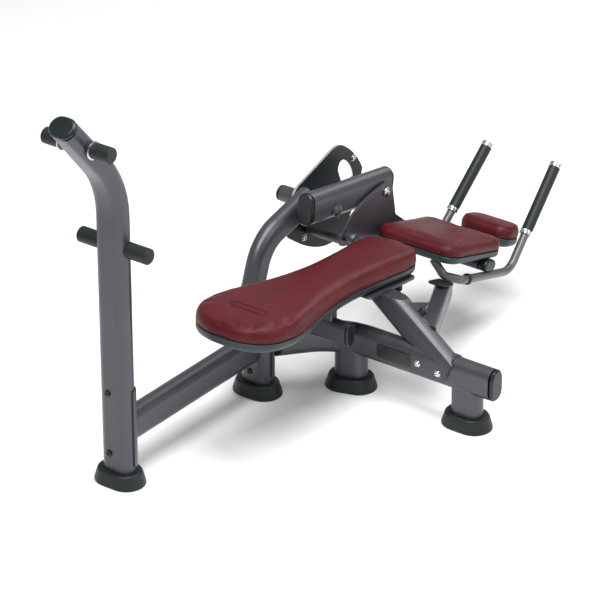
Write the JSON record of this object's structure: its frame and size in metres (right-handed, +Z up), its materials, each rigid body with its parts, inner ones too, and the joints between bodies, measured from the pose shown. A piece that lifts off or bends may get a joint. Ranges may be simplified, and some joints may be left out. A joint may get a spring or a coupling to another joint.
{
  "type": "abdominal crunch bench",
  "caption": "Crunch bench with a tubular floor frame, front post with foot pegs, narrow fixed seat, and a swinging back and head pad with upright hand grips.",
  "frame": {"origin": "centre of the overall box, on the floor", "axes": "+X from the front post to the head end, +Y to the user's left, +Z up"},
  "size_m": [1.9481, 0.8796, 1.178],
  "materials": {
    "frame_paint": "satin charcoal metallic powder coat",
    "black_plate": "satin black paint with a bright edge",
    "handle_metal": "satin grey metallic",
    "steel_bar": "ground steel",
    "chrome": "polished",
    "bush": "sintered bronze",
    "rubber": "matte moulded rubber",
    "end_cap": "semi-gloss moulded plastic",
    "pad_shell": "satin slate plastic",
    "upholstery": "burgundy synthetic leather, fine grain"
  },
  "bodies": {
    "frame": {"front_post": "frame_paint", "front_post_cap": "end_cap", "front_foot": "rubber", "lower_peg_bar": "steel_bar", "lower_peg_near": "rubber", "lower_peg_far": "rubber", "upper_peg_bar": "steel_bar", "upper_peg_near": "rubber", "upper_peg_far": "rubber", "front_saddle": "frame_paint", "main_beam": "frame_paint", "middle_column": "frame_paint", "middle_foot": "rubber", "middle_saddle": "frame_paint", "rear_frame_tube": "frame_paint", "rear_frame_cap": "end_cap", "bend_leg": "frame_paint", "bend_foot": "rubber", "rear_leg": "frame_paint", "rear_foot": "rubber", "outrigger_tube": "frame_paint", "outrigger_cap": "end_cap", "lever_support": "frame_paint", "lever_support_cap": "frame_paint", "pivot_housing": "frame_paint", "pivot_bush_near": "bush", "pivot_bush_far": "bush", "limit_plate": "black_plate", "stop_rod": "frame_paint", "strut_clamp": "frame_paint", "seat_strut": "frame_paint", "seat_cushion": "upholstery", "seat_shell": "pad_shell", "seat_plate": "frame_paint", "seat_rail": "frame_paint", "seat_buffer": "rubber", "seat_stand": "frame_paint", "rest_pad": "rubber", "rest_arm": "frame_paint"},
    "lever": {"lever_tube": "frame_paint", "lever_front_cap": "end_cap", "lever_rear_cap": "end_cap", "pivot_shaft": "steel_bar", "pivot_cap": "end_cap", "hanger_spacer": "frame_paint", "hanger_pin": "chrome"},
    "carrier": {"carrier_plate": "frame_paint", "back_cushion": "upholstery", "back_shell": "pad_shell", "head_cushion": "upholstery", "head_shell": "pad_shell", "cross_member": "frame_paint", "cross_member_cap": "end_cap", "head_pad_bar": "frame_paint", "handle_tube_near": "handle_metal", "handle_tube_far": "handle_metal", "grip_collar_near": "chrome", "grip_collar_far": "chrome", "grip_near": "rubber", "grip_far": "rubber"}
  },
  "joints": [
    {"name": "lever_hinge", "type": "hinge", "parent": "frame", "child": "lever", "pos_m": [0.2268, 0.2645, 0.46], "axis": [0, -1, 0], "range_deg": [0, 50]},
    {"name": "carrier_hinge", "type": "hinge", "parent": "lever", "child": "carrier", "pos_m": [0.4608, 0.2645, 0.434], "axis": [0, 1, 0], "range_deg": [0, 12]}
  ]
}
